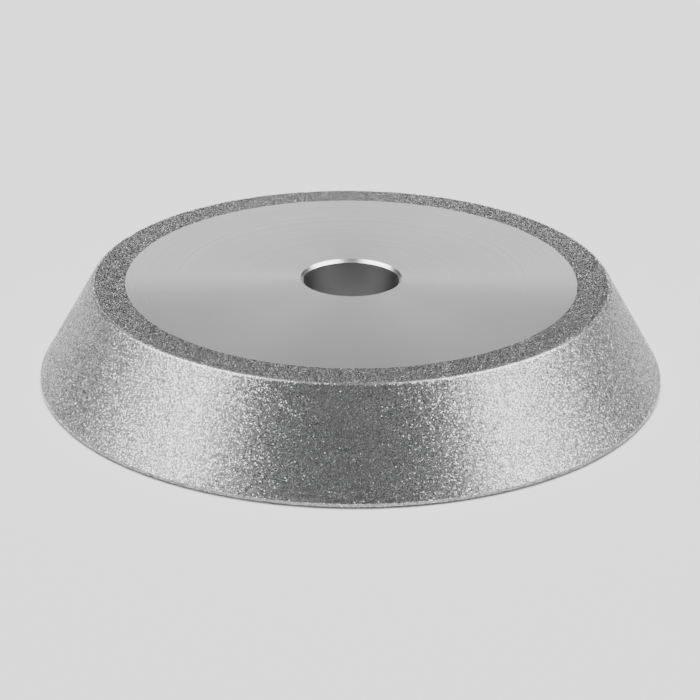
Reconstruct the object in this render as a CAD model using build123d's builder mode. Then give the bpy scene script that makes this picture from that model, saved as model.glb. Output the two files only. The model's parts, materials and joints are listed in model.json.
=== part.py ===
from build123d import *
from math import radians, sin, cos, tan
import os

# Diamond grinding wheel: a turned core in the shape of a low cone frustum, plated with a nickel
# bond that holds one layer of diamond grit. Millimetres. The axis of the bore is Z, the large
# back face lies on z = 0, and the small face looks up.

# Driving sizes, measured over the tips of the grit
wheel_radius = 41.5
wheel_thickness = 13.2
land_height = 0.7          # top of the cylindrical strip at the foot of the flank
flank_angle = 30.0         # between the flank and the axis
corner_radius = 0.6        # between the flank and the face
ring_width = 4.4           # of the grit on the face, from where flank and face would meet

# Core
bore_radius = 6.35         # for a 12.7 mm spindle
bore_chamfer = 0.4
back_edge_chamfer = 0.3
face_step = 0.05           # from the tips of the grit down to the bare face
face_height = wheel_thickness - face_step

# Coat
bond_thickness = 0.11
grit_stand = 0.07          # how far the grains stand out of the bond
coat_thickness = bond_thickness + grit_stand

# Where the flank would meet the face with no corner radius, and the centre of that radius
flank_run = (wheel_thickness - land_height) * tan(radians(flank_angle))
sharp_corner_radius = wheel_radius - flank_run
ring_inner_radius = sharp_corner_radius - ring_width
corner_half_turn = (90.0 - flank_angle) / 2
corner_setback = corner_radius * tan(radians(corner_half_turn))
corner_centre = (sharp_corner_radius - corner_setback, wheel_thickness - corner_radius)


# Points of the coated outline as (radius, height), at a depth under the tips of the grit
def land_foot(depth):
    return (wheel_radius - depth, back_edge_chamfer)


def land_top(depth):
    return (wheel_radius - depth, land_height - depth * tan(radians(flank_angle) / 2))


def flank_top(depth):
    reach = corner_radius - depth
    rise = reach * sin(radians(flank_angle))
    return (corner_centre[0] + reach * cos(radians(flank_angle)), corner_centre[1] + rise)


def corner_middle(depth):
    reach = corner_radius - depth
    turn = radians(flank_angle + corner_half_turn)
    return (corner_centre[0] + reach * cos(turn), corner_centre[1] + reach * sin(turn))


def corner_top(depth):
    return (corner_centre[0], wheel_thickness - depth)


def ring_end(depth):
    return (ring_inner_radius, wheel_thickness - depth)


# Each draws half of the rounded corner into the line builder that is open
def draw_lower_corner(depth):
    CenterArc(corner_centre, corner_radius - depth, flank_angle, corner_half_turn)


def draw_upper_corner(depth):
    CenterArc(corner_centre, corner_radius - depth, flank_angle + corner_half_turn, corner_half_turn)


# Wheel core: the frustum without its coat, bored through, with its edges broken. The seat of
# the ring is turned a little lower than the bare face, so that the grit ends up almost flush.
with BuildPart() as wheel_core:
    with BuildSketch(Plane.XZ):
        with BuildLine():
            Polyline(flank_top(coat_thickness), land_top(coat_thickness),
                     (wheel_radius - coat_thickness, 0), (0, 0), (0, face_height),
                     (ring_inner_radius, face_height), ring_end(coat_thickness),
                     corner_top(coat_thickness))
            draw_lower_corner(coat_thickness)
            draw_upper_corner(coat_thickness)
        make_face()
    revolve(axis=Axis.Z)
    back_edge = wheel_core.edges().group_by(Axis.Z)[0]
    chamfer(back_edge, back_edge_chamfer)
    Hole(bore_radius)
    bore_rims = wheel_core.edges(Select.LAST).filter_by(GeomType.CIRCLE)
    chamfer(bore_rims, bore_chamfer)
wheel_core.part.label = "wheel_core"

# Nickel bond: one plated skin over land, flank, corner and face ring
with BuildPart() as nickel_bond:
    with BuildSketch(Plane.XZ):
        with BuildLine():
            Polyline(flank_top(grit_stand), land_top(grit_stand), land_foot(grit_stand),
                     land_foot(coat_thickness), land_top(coat_thickness), flank_top(coat_thickness))
            draw_lower_corner(coat_thickness)
            draw_upper_corner(coat_thickness)
            Polyline(corner_top(coat_thickness), ring_end(coat_thickness), ring_end(grit_stand),
                     corner_top(grit_stand))
            draw_upper_corner(grit_stand)
            draw_lower_corner(grit_stand)
        make_face()
    revolve(axis=Axis.Z)
nickel_bond.part.label = "nickel_bond"

# Grit of the land: the grain layer on the cylindrical strip
with BuildPart() as grit_land:
    with BuildSketch(Plane.XZ):
        with BuildLine():
            Polyline(land_foot(0), land_top(0), land_top(grit_stand), land_foot(grit_stand), close=True)
        make_face()
    revolve(axis=Axis.Z)
grit_land.part.label = "grit_land"

# Grit of the flank: the grain layer on the cone and the lower half of the corner
with BuildPart() as grit_flank:
    with BuildSketch(Plane.XZ):
        with BuildLine():
            draw_lower_corner(0)
            Line(corner_middle(0), corner_middle(grit_stand))
            draw_lower_corner(grit_stand)
            Polyline(flank_top(grit_stand), land_top(grit_stand), land_top(0), flank_top(0))
        make_face()
    revolve(axis=Axis.Z)
grit_flank.part.label = "grit_flank"

# Grit of the face: the grain layer on the upper half of the corner and the ring
with BuildPart() as grit_face:
    with BuildSketch(Plane.XZ):
        with BuildLine():
            draw_upper_corner(0)
            Line(corner_middle(0), corner_middle(grit_stand))
            draw_upper_corner(grit_stand)
            Polyline(corner_top(grit_stand), ring_end(grit_stand), ring_end(0), corner_top(0))
        make_face()
    revolve(axis=Axis.Z)
grit_face.part.label = "grit_face"

os.makedirs("parts", exist_ok=True)
export_step(wheel_core.part, "parts/wheel_core.step")
export_step(nickel_bond.part, "parts/nickel_bond.step")
export_step(grit_land.part, "parts/grit_land.step")
export_step(grit_flank.part, "parts/grit_flank.step")
export_step(grit_face.part, "parts/grit_face.step")
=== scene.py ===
import json
import math
import random

import bmesh
import bpy
from mathutils import Matrix, Vector


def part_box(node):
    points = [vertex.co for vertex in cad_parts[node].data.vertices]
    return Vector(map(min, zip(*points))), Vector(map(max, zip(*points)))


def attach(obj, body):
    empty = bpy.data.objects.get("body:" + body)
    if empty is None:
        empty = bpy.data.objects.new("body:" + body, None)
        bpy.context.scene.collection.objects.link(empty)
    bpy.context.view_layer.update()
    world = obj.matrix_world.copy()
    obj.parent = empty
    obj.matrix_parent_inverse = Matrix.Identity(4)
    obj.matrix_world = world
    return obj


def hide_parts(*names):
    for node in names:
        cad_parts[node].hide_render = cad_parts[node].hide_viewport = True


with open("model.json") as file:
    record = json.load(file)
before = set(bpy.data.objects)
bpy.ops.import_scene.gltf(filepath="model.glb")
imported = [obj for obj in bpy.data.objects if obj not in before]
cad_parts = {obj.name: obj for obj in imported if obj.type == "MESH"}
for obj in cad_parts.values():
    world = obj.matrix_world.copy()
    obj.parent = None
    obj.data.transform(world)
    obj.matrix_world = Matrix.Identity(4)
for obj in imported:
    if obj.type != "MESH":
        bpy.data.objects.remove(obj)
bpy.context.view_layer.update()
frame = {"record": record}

# Diamond grinding wheel, standing on its large back face. Metres; the bore runs along Z.
mm = 0.001

# Main sizes, read off the frame where it holds them
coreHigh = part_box("wheel_core")[1]
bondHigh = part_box("nickel_bond")[1]
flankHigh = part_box("grit_flank")[1]
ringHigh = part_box("grit_face")[1]
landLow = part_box("grit_land")[0]
boreMount = [m for m in frame["record"]["mounts"] if m["name"] == "bore"][0]

wheel = {
    "radius": flankHigh.x,
    "top": ringHigh.z,
    "faceHeight": coreHigh.z,
    "boreRadius": boreMount["dims"]["r_mm"] * mm,
    "boreLength": boreMount["dims"]["length_mm"] * mm,
    "flankAngle": math.radians(30),
    "cornerRadius": 0.6 * mm,
    "ringWidth": 4.4 * mm,
    "landFoot": landLow.z,
    "landTop": 0.7 * mm,
    "coat": flankHigh.x - coreHigh.x,
    "grainStand": flankHigh.x - bondHigh.x,
    "steps": 384,
    "cornerSteps": 8,
    "weld": 0.0001 * mm,
}


# The coated outline as (radius, height) points, at a depth under the tips of the grit: two points for
# the land, then the corner, then the ring's inner edge. Plating may build up on the corner.
def coatLine(depth, build=0):
    angle = wheel["flankAngle"]
    sharp = wheel["radius"] - (wheel["top"] - wheel["landTop"]) * math.tan(angle)
    turn = math.pi / 2 - angle
    middle = sharp - wheel["cornerRadius"] * math.tan(turn / 2)
    line = [
        (wheel["radius"] - depth, wheel["landFoot"]),
        (wheel["radius"] - depth, wheel["landTop"] - depth * math.tan(angle / 2)),
    ]
    for i in range(wheel["cornerSteps"] + 1):
        share = i / wheel["cornerSteps"]
        bearing = angle + turn * share
        reach = wheel["cornerRadius"] - depth + build * math.sin(math.pi * share)
        line.append((
            middle + reach * math.cos(bearing),
            wheel["top"] - wheel["cornerRadius"] + reach * math.sin(bearing),
        ))
    line.append((sharp - wheel["ringWidth"], wheel["top"] - depth))
    return line


# Turns a closed outline of (radius, height) points about the bore axis
def latheMesh(name, outline):
    bm = bmesh.new()
    verts = [bm.verts.new((r, 0, z)) for r, z in outline]
    edges = [bm.edges.new((a, b)) for a, b in zip(verts, verts[1:] + verts[:1])]
    bmesh.ops.spin(bm, geom=verts + edges, cent=(0, 0, 0), axis=(0, 0, 1),
                   angle=2 * math.pi, steps=wheel["steps"], use_merge=True)
    bmesh.ops.remove_doubles(bm, verts=bm.verts, dist=wheel["weld"])
    bmesh.ops.recalc_face_normals(bm, faces=bm.faces)
    mesh = bpy.data.meshes.new(name)
    bm.to_mesh(mesh)
    bm.free()
    return mesh


def addPiece(name, mesh, slotName, *nodes):
    piece = bpy.data.objects.new(name, mesh)
    bpy.context.scene.collection.objects.link(piece)
    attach(piece, "root")
    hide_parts(*nodes)


# A material from a look: whatever in it bears a shader socket's name is set there
def newMaterial(name, look):
    material = bpy.data.materials.new(name)
    material.use_nodes = True
    shader = material.node_tree.nodes["Principled BSDF"]
    for socket, value in look.items():
        if socket == "Base Color":
            shader.inputs[socket].default_value = (value, value, value, 1)
        elif socket in shader.inputs:
            shader.inputs[socket].default_value = value
    return material, material.node_tree, shader


# A value that runs along a turned profile: distance from the axis plus height
def toolTravel(tree):
    place = tree.nodes.new("ShaderNodeTexCoord")
    split = tree.nodes.new("ShaderNodeSeparateXYZ")
    flat = tree.nodes.new("ShaderNodeVectorMath")
    reach = tree.nodes.new("ShaderNodeVectorMath")
    travel = tree.nodes.new("ShaderNodeMath")
    flat.operation = "MULTIPLY"
    flat.inputs[1].default_value = (1, 1, 0)
    reach.operation = "LENGTH"
    travel.operation = "ADD"
    tree.links.new(place.outputs["Object"], split.inputs[0])
    tree.links.new(place.outputs["Object"], flat.inputs[0])
    tree.links.new(flat.outputs[0], reach.inputs[0])
    tree.links.new(reach.outputs["Value"], travel.inputs[0])
    tree.links.new(split.outputs["Z"], travel.inputs[1])
    return place.outputs["Object"], travel.outputs[0]


def noise(tree, socket, dimensions, size, detail):
    texture = tree.nodes.new("ShaderNodeTexNoise")
    texture.noise_dimensions = dimensions
    texture.inputs["Scale"].default_value = 1 / size
    texture.inputs["Detail"].default_value = detail
    tree.links.new(socket, texture.inputs["W" if dimensions == "1D" else "Vector"])
    return texture.outputs["Fac"]


noiseLow, noiseHigh = 0.3, 0.7  # where most of a noise lies


# Spreads a noise evenly about a middle value
def spread(tree, socket, middle, reach):
    ranger = tree.nodes.new("ShaderNodeMapRange")
    ranger.inputs["From Min"].default_value = noiseLow
    ranger.inputs["From Max"].default_value = noiseHigh
    ranger.inputs["To Min"].default_value = middle - reach
    ranger.inputs["To Max"].default_value = middle + reach
    tree.links.new(socket, ranger.inputs["Value"])
    return ranger.outputs["Result"]


def relief(tree, shader, socket, depth):
    bump = tree.nodes.new("ShaderNodeBump")
    bump.inputs["Strength"].default_value = 1
    bump.inputs["Distance"].default_value = depth
    tree.links.new(socket, bump.inputs["Height"])
    tree.links.new(bump.outputs["Normal"], shader.inputs["Normal"])


def turnedMetal(name, look):
    material, tree, shader = newMaterial(name, look)
    place, travel = toolTravel(tree)
    grooves = noise(tree, travel, "1D", look["groove"], look["grooveDetail"])
    clouds = noise(tree, place, "3D", look["cloud"], look["cloudDetail"])
    shade = spread(tree, clouds, look["Base Color"], look["shadeSpread"])
    rough = spread(tree, grooves, look["Roughness"], look["roughSpread"])
    tree.links.new(shade, shader.inputs["Base Color"])
    tree.links.new(rough, shader.inputs["Roughness"])
    relief(tree, shader, grooves, look["grooveDepth"])
    tangent = tree.nodes.new("ShaderNodeTangent")
    tangent.direction_type = "RADIAL"
    tangent.axis = "Z"
    tree.links.new(tangent.outputs["Tangent"], shader.inputs["Tangent"])
    return material


def platedMetal(name, look):
    material, tree, shader = newMaterial(name, look)
    place = tree.nodes.new("ShaderNodeTexCoord").outputs["Object"]
    nodules = noise(tree, place, "3D", look["nodule"], look["noduleDetail"])
    clouds = noise(tree, place, "3D", look["cloud"], look["cloudDetail"])
    shade = spread(tree, clouds, look["Base Color"], look["shadeSpread"])
    tree.links.new(shade, shader.inputs["Base Color"])
    relief(tree, shader, nodules, look["noduleDepth"])
    return material


# Core: the turned body with its bore, edge breaks and bare face. The bore and the bore's edge breaks
# look like the face but for what they list.
core = {
    "boreChamfer": (wheel["faceHeight"] - wheel["boreLength"]) / 2,
    "backChamfer": wheel["landFoot"],
    "sharpAngle": math.radians(20),
    "face": {
        "Base Color": 0.7,
        "Metallic": 1,
        "Roughness": 0.18,
        "Anisotropic": 0.88,
        "Anisotropic Rotation": 0.25,  # the highlight runs across the grooves
        "groove": 0.5 * mm,
        "grooveDetail": 3,
        "grooveDepth": 0.0007 * mm,
        "roughSpread": 0.02,
        "cloud": 14 * mm,
        "cloudDetail": 3,
        "shadeSpread": 0.02,
    },
    # The bore's dark base colour is painted shade for the deep recess; its roughness is the reamed
    # finish.
    "bore": {"Base Color": 0.28, "Roughness": 0.34, "Anisotropic": 0.6},
    "edge": {"Roughness": 0.28, "Anisotropic": 0.3},
}
seat = coatLine(wheel["coat"])
boreRadius, chamfer = wheel["boreRadius"], core["boreChamfer"]
coreOutline = [
    (boreRadius, chamfer),
    (boreRadius + chamfer, 0),
    (wheel["radius"] - wheel["coat"] - core["backChamfer"], 0),
    *seat,
    (seat[-1][0], wheel["faceHeight"]),
    (boreRadius + chamfer, wheel["faceHeight"]),
    (boreRadius, wheel["faceHeight"] - chamfer),
]
coreMesh = latheMesh("wheelCore", coreOutline)
for name, part in (("turnedSteel", "face"), ("reamedSteelPaintedShade", "bore"), ("brokenEdge", "edge")):
    coreMesh.materials.append(turnedMetal(name, {**core["face"], **core[part]}))
for face in coreMesh.polygons:
    reach = math.hypot(face.center.x, face.center.y)
    if reach < boreRadius:
        face.material_index = 1
    elif reach < boreRadius + chamfer:
        face.material_index = 2
addPiece("wheelCore", coreMesh, "core_steel", "wheel_core")
coreMesh.shade_smooth()
coreMesh.set_sharp_from_angle(angle=core["sharpAngle"])
print("core turned")

# Nickel bond, a little thicker on the corner, where plating builds up
bond = {
    "cornerBuild": 0.045 * mm,
    "plate": {
        # Nickel's own colour, set darker than bare nickel as painted shade in the gaps between the
        # crystals
        "Base Color": 0.32,
        "Metallic": 1,
        "Roughness": 0.32,
        "nodule": 0.09 * mm,
        "noduleDetail": 2,
        "noduleDepth": 0.006 * mm,
        "cloud": 6 * mm,
        "cloudDetail": 3,
        "shadeSpread": 0.04,
    },
}
bondOutline = coatLine(wheel["grainStand"], bond["cornerBuild"]) + seat[::-1]
bondMesh = latheMesh("nickelBond", bondOutline)
bondMesh.materials.append(platedMetal("nickelPlatePaintedShade", bond["plate"]))
addPiece("nickelBond", bondMesh, "nickel_plate", "nickel_bond")
bondMesh.shade_smooth()
bondMesh.set_sharp_from_angle(angle=core["sharpAngle"])
print("bond plated")

# Grit: nickel-clad crystals set in the bond. Each is an octahedron lying on one of its faces.
grit = {
    "pitch": 0.168 * mm,
    "edge": 0.148 * mm,
    "edgeSpread": 0.24,
    "wide": (0.75, 1.1),
    "tall": (0.8, 1.1),
    "jitter": 0.25,
    "tilt": math.radians(4.5),
    "wildShare": 0.03,
    "wildTilt": math.radians(11),
    "tipLimit": math.radians(55),
    "sink": 0.02 * mm,
    "flankSectors": 8,
    "faceSectors": 2,
    "seed": 7,
    "tints": {
        "gritPale": {"Base Color": 0.68, "Metallic": 0.95, "Roughness": 0.22, "IOR": 2.4},
        "gritGrey": {"Base Color": 0.46, "Metallic": 0.95, "Roughness": 0.22, "IOR": 2.4},
        "gritDull": {"Base Color": 0.32, "Metallic": 0.95, "Roughness": 0.24, "IOR": 2.4},
        "gritDark": {"Base Color": 0.19, "Metallic": 0.95, "Roughness": 0.26, "IOR": 2.4},
    },
    # How many of each tint in ten: the face ring's grit takes mostly the dark tints, painted shade that
    # dims the top ring
    "landMix": (3, 3, 2, 2),
    "flankMix": (3, 4, 2, 1),
    "cornerMix": (4, 4, 1, 1),
    "faceMixPaintedShade": (0, 0, 3, 7),
}
grainTints = [newMaterial(name, look)[0] for name, look in grit["tints"].items()]

# A regular octahedron on its side: the reach of its top corners and half its height
cornerReach = grit["edge"] / math.sqrt(3)
halfHigh = grit["edge"] * math.sqrt(2 / 3) / 2
rowPitch = grit["pitch"] * math.sqrt(3) / 2  # rows of a triangular pattern


def octahedron(name, tint):
    bm = bmesh.new()
    corners = []
    for height, start in ((halfHigh, 0), (-halfHigh, 60)):
        for k in range(3):
            a = math.radians(120 * k + start)
            corners.append(bm.verts.new((cornerReach * math.cos(a), cornerReach * math.sin(a), height)))
    bmesh.ops.convex_hull(bm, input=corners)
    bmesh.ops.recalc_face_normals(bm, faces=bm.faces)
    for face in bm.faces:
        face.material_index = tint
    mesh = bpy.data.meshes.new(name)
    bm.to_mesh(mesh)
    bm.free()
    return mesh


crystals = [octahedron(f"crystal{k}", k) for k in range(len(grainTints))]
shapes = [[c for v in m.vertices for c in v.co] for m in crystals]


# Where a travel along the outline lies, and how far its normal leans up from level
def placeAt(line, lengths, travel):
    for (a, b), length in zip(zip(line, line[1:]), lengths):
        if travel <= length or b is line[-1]:
            share = min(travel / length, 1)
            lean = math.atan2(a[0] - b[0], b[1] - a[1])
            return a[0] + (b[0] - a[0]) * share, a[1] + (b[1] - a[1]) * share, lean
        travel -= length


# Sets crystals over a stretch of the outline, over part of the turn
def gritBand(name, node, mix, line, startTurn, endTurn, rng):
    bm = bmesh.new()
    lengths = [math.dist(a, b) for a, b in zip(line, line[1:])]
    total = sum(lengths)
    rows = max(1, round(total / rowPitch))
    span = endTurn - startTurn
    count = 0
    for row in range(rows):
        travel = (row + 0.5) / rows * total
        shift = 0.5 * (row % 2)  # every other row starts half a step on
        perRow = round(span * placeAt(line, lengths, travel)[0] / grit["pitch"])
        for k in range(perRow):
            turn = startTurn + span * (k + shift + rng.uniform(-1, 1) * grit["jitter"]) / perRow
            along = travel + rng.uniform(-1, 1) * grit["jitter"] * grit["pitch"]
            r, z, lean = placeAt(line, lengths, min(max(along, 0), total))
            size = 1 + rng.uniform(-1, 1) * grit["edgeSpread"]
            tall = rng.uniform(*grit["tall"])
            loose = grit["wildTilt"] if rng.random() < grit["wildShare"] else grit["tilt"]
            tipX, tipY = rng.gauss(0, loose), rng.gauss(0, loose)
            tip = min(math.hypot(tipX, tipY), grit["tipLimit"])
            reach = halfHigh * size * tall * math.cos(tip) + cornerReach * size * math.sin(tip)
            place = (
                Matrix.Rotation(turn, 4, "Z")
                @ Matrix.Translation((r, 0, z))
                @ Matrix.Rotation(math.pi / 2 - lean, 4, "Y")
                @ Matrix.Translation((0, 0, -reach - rng.random() * grit["sink"]))
                @ Matrix.Rotation(tipX, 4, "X")
                @ Matrix.Rotation(tipY, 4, "Y")
                @ Matrix.Rotation(rng.uniform(0, 2 * math.pi), 4, "Z")
                @ Matrix.Diagonal((size, size * rng.uniform(*grit["wide"]), size * tall, 1))
            )
            pick = rng.choices(range(len(crystals)), mix)[0]
            crystals[pick].vertices.foreach_set("co", shapes[pick])
            crystals[pick].transform(place)
            bm.from_mesh(crystals[pick])
            count += 1
    mesh = bpy.data.meshes.new(name)
    bm.to_mesh(mesh)
    bm.free()
    for tint in grainTints:
        mesh.materials.append(tint)
    addPiece(name, mesh, "diamond_grit", node)
    print(name, count, "crystals", len(mesh.polygons), "faces")


# Splits a band of grit into sectors of the turn, a piece each
def gritSectors(name, node, mix, line, count, rng):
    for k in range(count):
        startTurn, endTurn = 2 * math.pi * k / count, 2 * math.pi * (k + 1) / count
        gritBand(f"{name}{k + 1}", node, mix, line, startTurn, endTurn, rng)


tips = coatLine(0)
midCorner = 2 + wheel["cornerSteps"] // 2  # after the land's two points
rng = random.Random(grit["seed"])
gritBand("gritLand", "grit_land", grit["landMix"], tips[:2], 0, 2 * math.pi, rng)
gritSectors("gritFlank", "grit_flank", grit["flankMix"], tips[1:midCorner + 1], grit["flankSectors"], rng)
gritBand("gritCorner", "grit_face", grit["cornerMix"], tips[midCorner:-1], 0, 2 * math.pi, rng)
# Mostly dark tints on the face ring: painted shade on the top ring
gritSectors("gritFace", "grit_face", grit["faceMixPaintedShade"], tips[-2:], grit["faceSectors"], rng)
print("grit set")

# Floor
ground = {
    "halfWidth": 3,
    "paint": {"Base Color": 0.85, "Roughness": 0.9},
}
bm = bmesh.new()
bmesh.ops.create_grid(bm, x_segments=1, y_segments=1, size=ground["halfWidth"])
floorMesh = bpy.data.meshes.new("floor")
bm.to_mesh(floorMesh)
bm.free()
floorMesh.materials.append(newMaterial("floorPaint", ground["paint"])[0])
floor = bpy.data.objects.new("floor", floorMesh)
bpy.context.scene.collection.objects.link(floor)

# Light: two big boxes at the sides, low panels behind and in front, and a weak one overhead.
# Each is azimuth from the camera's side and elevation in degrees, distance, width and height in
# metres, and radiance.
studio = {
    "boxes": {
        "leftBox": (-81, 44, 0.7, 0.68, 0.68, 8.6),
        "rightBox": (81, 44, 0.7, 0.7, 0.68, 8.4),
        "backPanel": (180, 11.3, 0.9, 0.8, 0.362, 1.85),
        "frontPanel": (0, 12, 0.9, 0.8, 0.37, 0.6),
        "topPanel": (180, 89, 0.8, 0.7, 0.7, 0.25),
    },
    "fill": 0.03,
    "backdrop": 1.9,  # what the camera sees past the floor's edge
    "floorSun": 7.2,
    "floorSunAngle": math.radians(50),
}
world = bpy.data.worlds.new("studio")
bpy.context.scene.world = world
world.use_nodes = True
sky = world.node_tree.nodes["Background"]
backdrop = world.node_tree.nodes.new("ShaderNodeBackground")
either = world.node_tree.nodes.new("ShaderNodeMixShader")
rays = world.node_tree.nodes.new("ShaderNodeLightPath")
for background, strength in ((sky, studio["fill"]), (backdrop, studio["backdrop"])):
    background.inputs["Color"].default_value = (1, 1, 1, 1)
    background.inputs["Strength"].default_value = strength
world.node_tree.links.new(rays.outputs["Is Camera Ray"], either.inputs["Fac"])
world.node_tree.links.new(sky.outputs[0], either.inputs[1])
world.node_tree.links.new(backdrop.outputs[0], either.inputs[2])
world.node_tree.links.new(either.outputs[0], world.node_tree.nodes["World Output"].inputs["Surface"])


def softbox(name, azimuth, elevation, distance, width, height, radiance):
    light = bpy.data.lights.new(name, "AREA")
    light.shape = "RECTANGLE"
    light.size = width
    light.size_y = height
    light.energy = radiance * math.pi * width * height  # watts
    place = bpy.data.objects.new(name, light)
    bpy.context.scene.collection.objects.link(place)
    a, e = math.radians(azimuth), math.radians(elevation)
    away = Vector((math.sin(a) * math.cos(e), -math.cos(a) * math.cos(e), math.sin(e)))
    place.location = away * distance
    place.rotation_euler = away.to_track_quat("Z", "Y").to_euler()
    return place


# The wheel's lights leave the floor out, and the floor has an even one of its own
floorOnly = bpy.data.collections.new("floorOnly")
allButFloor = bpy.data.collections.new("allButFloor")
for group in (floorOnly, allButFloor):
    group.objects.link(floor)
allButFloor.collection_objects[0].light_linking.link_state = "EXCLUDE"
for name, box in studio["boxes"].items():
    softbox(name, *box).light_linking.receiver_collection = allButFloor
sun = bpy.data.lights.new("floorSun", "SUN")
sun.energy = studio["floorSun"]
sun.angle = studio["floorSunAngle"]
sunPlace = bpy.data.objects.new("floorSun", sun)
bpy.context.scene.collection.objects.link(sunPlace)
sunPlace.light_linking.receiver_collection = floorOnly
print("studio lit")

# Camera, aimed a little below the middle of the wheel. Distance in wheel radii, angles in radians.
view = {
    "aim": (-0.09 * mm, -1.32 * mm, 3.19 * mm),
    "distance": 7.6,
    "elevation": 0.4099,
    "roll": 0.0078,
    "lens": 121.2,
    "sensor": 36,
    "clipStart": 0.01,
}
forward = Vector((0, math.cos(view["elevation"]), -math.sin(view["elevation"])))
right = Matrix.Rotation(-view["roll"], 3, forward) @ Vector((1, 0, 0))
up = right.cross(forward)
camera = bpy.data.cameras.new("camera")
camera.lens = view["lens"]
camera.sensor_width = view["sensor"]
camera.clip_start = view["clipStart"]
cameraPlace = bpy.data.objects.new("camera", camera)
bpy.context.scene.collection.objects.link(cameraPlace)
turned = Matrix((right, up, -forward)).transposed().to_4x4()
stand = Vector(view["aim"]) - forward * view["distance"] * wheel["radius"]
cameraPlace.matrix_world = Matrix.Translation(stand) @ turned
bpy.context.scene.camera = cameraPlace
print("camera set")
